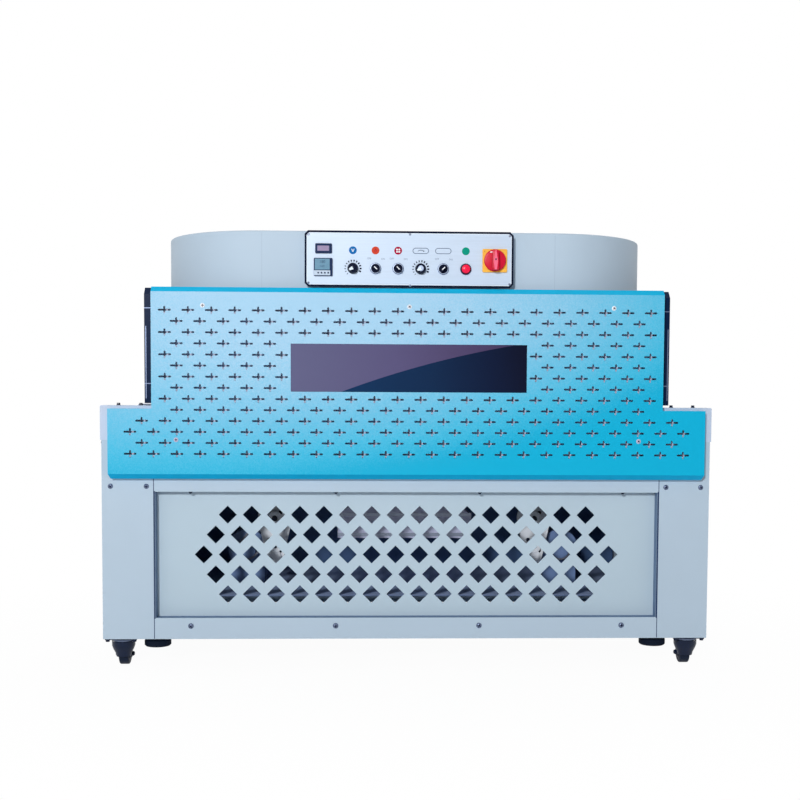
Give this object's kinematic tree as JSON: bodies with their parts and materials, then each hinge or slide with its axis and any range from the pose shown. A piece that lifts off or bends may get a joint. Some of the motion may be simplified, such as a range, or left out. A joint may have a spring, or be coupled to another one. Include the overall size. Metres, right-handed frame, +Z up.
{
  "type": "heat shrink tunnel machine",
  "caption": "Heat shrink tunnel on casters: sheet-metal cabinet with a diamond lattice front, roller conveyor, vented window cover and a rounded hood with a control panel.",
  "frame": {"origin": "on the floor under the middle of the machine", "axes": "+X along the conveyor to the operator's right, +Y away from the operator, +Z up"},
  "size_m": [1.606, 0.6644, 1.152],
  "materials": {
    "cabinet_blue_grey": "smooth powder coat, pale blue-grey",
    "floor_tray_grey": "dull painted sheet, dusty",
    "lattice_blue_grey": "smooth powder coat, pale blue-grey",
    "cheek_blue_grey": "smooth powder coat, pale lilac-grey",
    "roller_steel": "drawn tube, brushed round",
    "tunnel_sheet": "matt sheet, heat-tinted",
    "mouth_dark": "dark blue-black paint",
    "cover_cyan": "semi-gloss paint, pale cyan",
    "window_glass": "clear, slightly tinted",
    "control_box_grey": "smooth paint",
    "faceplate_brushed": "brushed along its length, dark border",
    "instrument_grey": "dark moulded cases, bright bezels",
    "knob_black": "moulded, fine grain",
    "button_red": "translucent lens",
    "switch_yellow": "moulded plate",
    "switch_red": "moulded handle",
    "duct_galvanised": "galvanised sheet",
    "bracket_grey": "painted plate",
    "pulley_iron": "turned cast iron",
    "motor_grey": "painted casting",
    "belt_rubber": "matt drive belt",
    "caster_steel": "zinc-plated pressing",
    "wheel_nylon": "moulded tread",
    "foot_rubber": "moulded pad on a threaded stem"
  },
  "bodies": {
    "machine": {"legs": "cabinet_blue_grey", "cabinet_rails": "cabinet_blue_grey", "rear_panel": "cabinet_blue_grey", "side_panels": "cabinet_blue_grey", "hood": "cabinet_blue_grey", "floor_tray": "floor_tray_grey", "lattice_panel": "lattice_blue_grey", "conveyor_cheeks": "cheek_blue_grey", "conveyor_rollers": "roller_steel", "tunnel_floor": "tunnel_sheet", "tunnel_walls": "tunnel_sheet", "tunnel_roof": "tunnel_sheet", "mouth_frames": "mouth_dark", "front_cover": "cover_cyan", "rear_cover": "cover_cyan", "window_pane": "window_glass", "control_box": "control_box_grey", "faceplate": "faceplate_brushed", "instruments": "instrument_grey", "switch_plate": "switch_yellow", "air_duct": "duct_galvanised", "bearing_brackets": "bracket_grey", "pulleys": "pulley_iron", "motors": "motor_grey", "drive_belts": "belt_rubber", "caster_plates": "caster_steel"},
    "heat_knob": {"heat_knob": "knob_black"},
    "speed_knob": {"speed_knob": "knob_black"},
    "push_button": {"push_button": "button_red"},
    "switch_handle": {"switch_handle": "switch_red"},
    "selector_1": {"selector_1": "knob_black"},
    "selector_2": {"selector_2": "knob_black"},
    "selector_3": {"selector_3": "knob_black"},
    "fork_front_left": {"fork_front_left": "caster_steel"},
    "wheel_front_left": {"wheel_front_left": "wheel_nylon"},
    "foot_front_left": {"foot_front_left": "foot_rubber"},
    "fork_rear_left": {"fork_rear_left": "caster_steel"},
    "wheel_rear_left": {"wheel_rear_left": "wheel_nylon"},
    "foot_rear_left": {"foot_rear_left": "foot_rubber"},
    "fork_front_right": {"fork_front_right": "caster_steel"},
    "wheel_front_right": {"wheel_front_right": "wheel_nylon"},
    "foot_front_right": {"foot_front_right": "foot_rubber"},
    "fork_rear_right": {"fork_rear_right": "caster_steel"},
    "wheel_rear_right": {"wheel_rear_right": "wheel_nylon"},
    "foot_rear_right": {"foot_rear_right": "foot_rubber"}
  },
  "joints": [
    {"name": "heat_knob_turn", "type": "hinge", "parent": "machine", "child": "heat_knob", "pos_m": [-0.147, -0.303, 1.0525], "axis": [0, 1, 0], "range_deg": [-150, 150]},
    {"name": "speed_knob_turn", "type": "hinge", "parent": "machine", "child": "speed_knob", "pos_m": [0.0294, -0.303, 1.0525], "axis": [0, 1, 0], "range_deg": [-150, 150]},
    {"name": "selector_1_turn", "type": "hinge", "parent": "machine", "child": "selector_1", "pos_m": [-0.0882, -0.303, 1.0525], "axis": [0, 1, 0], "range_deg": [0, 90]},
    {"name": "selector_2_turn", "type": "hinge", "parent": "machine", "child": "selector_2", "pos_m": [-0.0294, -0.303, 1.0525], "axis": [0, 1, 0], "range_deg": [0, 90]},
    {"name": "selector_3_turn", "type": "hinge", "parent": "machine", "child": "selector_3", "pos_m": [0.0882, -0.303, 1.0525], "axis": [0, 1, 0], "range_deg": [-90, 0]},
    {"name": "push_button_press", "type": "slide", "parent": "machine", "child": "push_button", "axis": [0, 1, 0], "range_m": [0, 0.004], "stiffness_N_per_m": 600},
    {"name": "switch_handle_turn", "type": "hinge", "parent": "machine", "child": "switch_handle", "pos_m": [0.2225, -0.303, 1.075], "axis": [0, 1, 0], "range_deg": [0, 90]},
    {"name": "swivel_front_left", "type": "hinge", "parent": "machine", "child": "fork_front_left", "pos_m": [-0.755, -0.255, 0.072], "axis": [0, 0, 1], "continuous": true},
    {"name": "roll_front_left", "type": "hinge", "parent": "fork_front_left", "child": "wheel_front_left", "pos_m": [-0.755, -0.233, 0.028], "axis": [1, 0, 0], "continuous": true},
    {"name": "foot_slide_front_left", "type": "slide", "parent": "machine", "child": "foot_front_left", "axis": [0, 0, 1], "range_m": [-0.054, 0]},
    {"name": "swivel_rear_left", "type": "hinge", "parent": "machine", "child": "fork_rear_left", "pos_m": [-0.755, 0.255, 0.072], "axis": [0, 0, 1], "continuous": true},
    {"name": "roll_rear_left", "type": "hinge", "parent": "fork_rear_left", "child": "wheel_rear_left", "pos_m": [-0.755, 0.233, 0.028], "axis": [1, 0, 0], "continuous": true},
    {"name": "foot_slide_rear_left", "type": "slide", "parent": "machine", "child": "foot_rear_left", "axis": [0, 0, 1], "range_m": [-0.054, 0]},
    {"name": "swivel_front_right", "type": "hinge", "parent": "machine", "child": "fork_front_right", "pos_m": [0.755, -0.255, 0.072], "axis": [0, 0, 1], "continuous": true},
    {"name": "roll_front_right", "type": "hinge", "parent": "fork_front_right", "child": "wheel_front_right", "pos_m": [0.755, -0.233, 0.028], "axis": [1, 0, 0], "continuous": true},
    {"name": "foot_slide_front_right", "type": "slide", "parent": "machine", "child": "foot_front_right", "axis": [0, 0, 1], "range_m": [-0.054, 0]},
    {"name": "swivel_rear_right", "type": "hinge", "parent": "machine", "child": "fork_rear_right", "pos_m": [0.755, 0.255, 0.072], "axis": [0, 0, 1], "continuous": true},
    {"name": "roll_rear_right", "type": "hinge", "parent": "fork_rear_right", "child": "wheel_rear_right", "pos_m": [0.755, 0.233, 0.028], "axis": [1, 0, 0], "continuous": true},
    {"name": "foot_slide_rear_right", "type": "slide", "parent": "machine", "child": "foot_rear_right", "axis": [0, 0, 1], "range_m": [-0.054, 0]}
  ]
}
